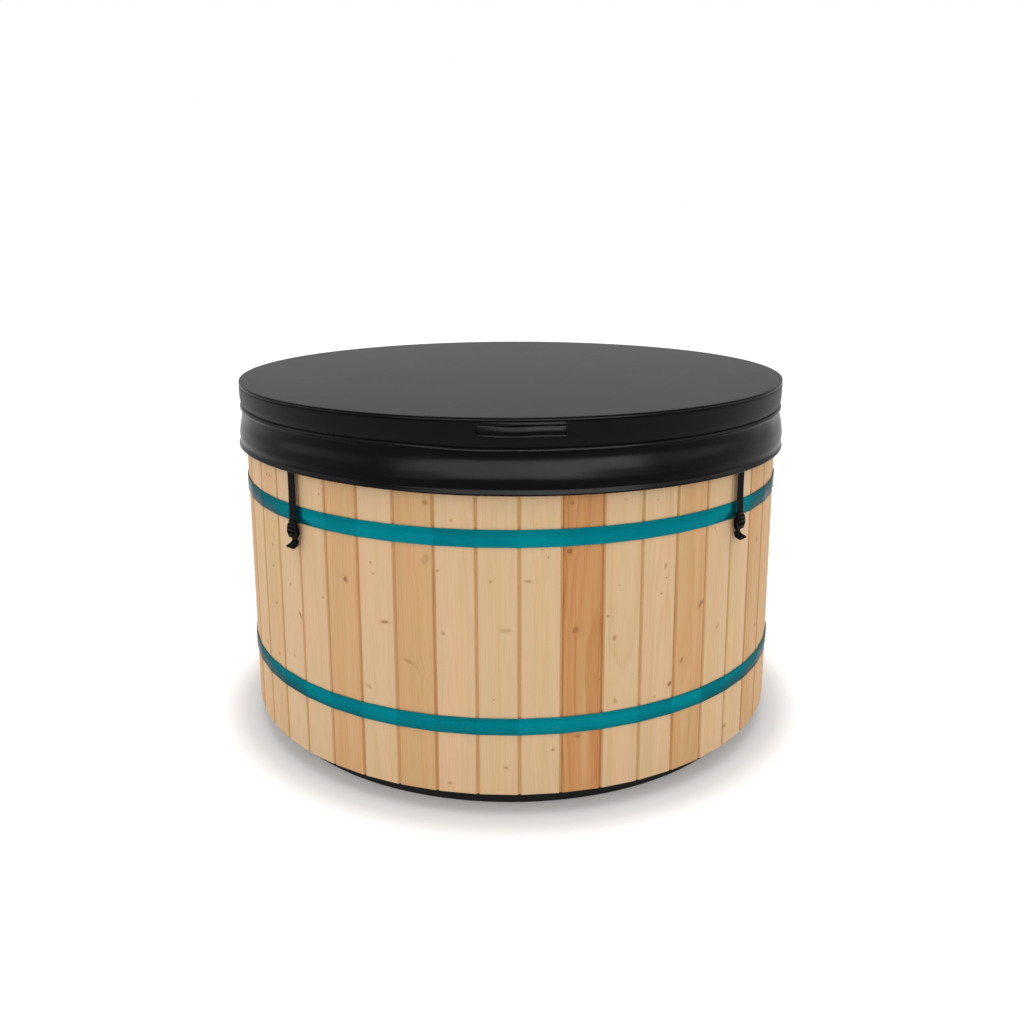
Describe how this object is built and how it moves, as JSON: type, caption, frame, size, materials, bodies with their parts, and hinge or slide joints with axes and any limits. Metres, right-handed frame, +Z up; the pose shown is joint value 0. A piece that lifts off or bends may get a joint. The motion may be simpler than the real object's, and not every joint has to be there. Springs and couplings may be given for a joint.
{
  "type": "wood-clad hot tub",
  "caption": "Round hot tub of hooped timber staves on a plastic liner with benches, ports for an outside wood-fired heater, a drain valve, and a padded lid with skirt, straps and buckles.",
  "frame": {"origin": "on the floor under the base, at the tub's axis", "axes": "+Z up along the tub's axis; -Y to the front, where the lid's handle is in the picture; +X to the right of someone who looks at the front"},
  "size_m": [1.7472, 1.7805, 1.0929],
  "materials": {
    "spruce": "satin",
    "bench_wood": "satin",
    "hoop_coat": "satin",
    "black_plastic": "matte",
    "liner_plastic": "satin",
    "foam": "matte",
    "vinyl": "satin",
    "webbing": "matte",
    "steel": "satin",
    "brass": "satin",
    "lever_coat": "satin"
  },
  "bodies": {
    "tub": {"base_plate": "black_plastic", "liner": "liner_plastic", "wall_insulation": "foam", "hoop_upper": "hoop_coat", "hoop_lower": "hoop_coat", "hoop_bolt_upper": "steel", "hoop_bolt_lower": "steel", "hoop_nut_upper": "steel", "hoop_nut_lower": "steel", "heater_port_upper": "steel", "heater_port_lower": "steel", "heater_nut_upper": "steel", "heater_nut_lower": "steel", "drain_pipe": "brass", "drain_valve": "brass", "staves_01": "spruce", "staves_02": "spruce", "staves_03": "spruce", "staves_04": "spruce", "staves_05": "spruce", "staves_06": "spruce", "staves_07": "spruce", "staves_08": "spruce", "staves_09": "spruce", "staves_10": "spruce", "staves_11": "spruce", "staves_12": "spruce", "staves_13": "spruce", "staves_14": "spruce", "staves_15": "spruce", "staves_16": "spruce", "staves_17": "spruce", "staves_18": "spruce", "staves_19": "spruce", "staves_20": "spruce", "staves_21": "spruce", "staves_22": "spruce", "staves_23": "spruce", "staves_24": "spruce", "bench_seat_1": "bench_wood", "bench_seat_2": "bench_wood", "bench_seat_3": "bench_wood", "bench_riser_1": "bench_wood", "bench_riser_2": "bench_wood", "bench_riser_3": "bench_wood"},
    "lid": {"lid_cover": "vinyl", "lid_core": "foam", "lid_underside": "vinyl", "lid_skirt": "vinyl", "lid_handle_front": "vinyl", "lid_handle_rear": "vinyl"},
    "lever": {"drain_lever": "lever_coat"},
    "strap_front_left_body": {"strap_front_left": "webbing"},
    "buckle_front_left_body": {"buckle_front_left": "black_plastic"},
    "strap_front_right_body": {"strap_front_right": "webbing"},
    "buckle_front_right_body": {"buckle_front_right": "black_plastic"},
    "strap_rear_right_body": {"strap_rear_right": "webbing"},
    "buckle_rear_right_body": {"buckle_rear_right": "black_plastic"},
    "strap_rear_left_body": {"strap_rear_left": "webbing"},
    "buckle_rear_left_body": {"buckle_rear_left": "black_plastic"}
  },
  "joints": [
    {"name": "lid_lift", "type": "slide", "parent": "tub", "child": "lid", "axis": [0, 0, 1], "range_m": [0, 0.45]},
    {"name": "drain_lever_turn", "type": "hinge", "parent": "tub", "child": "lever", "pos_m": [0.26579, 0.85075, 0.1243], "axis": [0, 0, 1], "range_deg": [0, 90]},
    {"name": "strap_front_left_swing", "type": "hinge", "parent": "lid", "child": "strap_front_left_body", "pos_m": [-0.60213, -0.62135, 0.8967], "axis": [-0.7181, 0.6959, 0], "range_deg": [0, 80]},
    {"name": "buckle_front_left_slide", "type": "slide", "parent": "strap_front_left_body", "child": "buckle_front_left_body", "axis": [0, 0, 1], "range_m": [0, 0.08]},
    {"name": "strap_front_right_swing", "type": "hinge", "parent": "lid", "child": "strap_front_right_body", "pos_m": [0.63996, -0.58232, 0.8967], "axis": [-0.673, -0.7396, 0], "range_deg": [0, 80]},
    {"name": "buckle_front_right_slide", "type": "slide", "parent": "strap_front_right_body", "child": "buckle_front_right_body", "axis": [0, 0, 1], "range_m": [0, 0.08]},
    {"name": "strap_rear_right_swing", "type": "hinge", "parent": "lid", "child": "strap_rear_right_body", "pos_m": [0.60213, 0.62135, 0.8967], "axis": [0.7181, -0.6959, 0], "range_deg": [0, 80]},
    {"name": "buckle_rear_right_slide", "type": "slide", "parent": "strap_rear_right_body", "child": "buckle_rear_right_body", "axis": [0, 0, 1], "range_m": [0, 0.08]},
    {"name": "strap_rear_left_swing", "type": "hinge", "parent": "lid", "child": "strap_rear_left_body", "pos_m": [-0.63996, 0.58232, 0.8967], "axis": [0.673, 0.7396, 0], "range_deg": [0, 80]},
    {"name": "buckle_rear_left_slide", "type": "slide", "parent": "strap_rear_left_body", "child": "buckle_rear_left_body", "axis": [0, 0, 1], "range_m": [0, 0.08]}
  ]
}
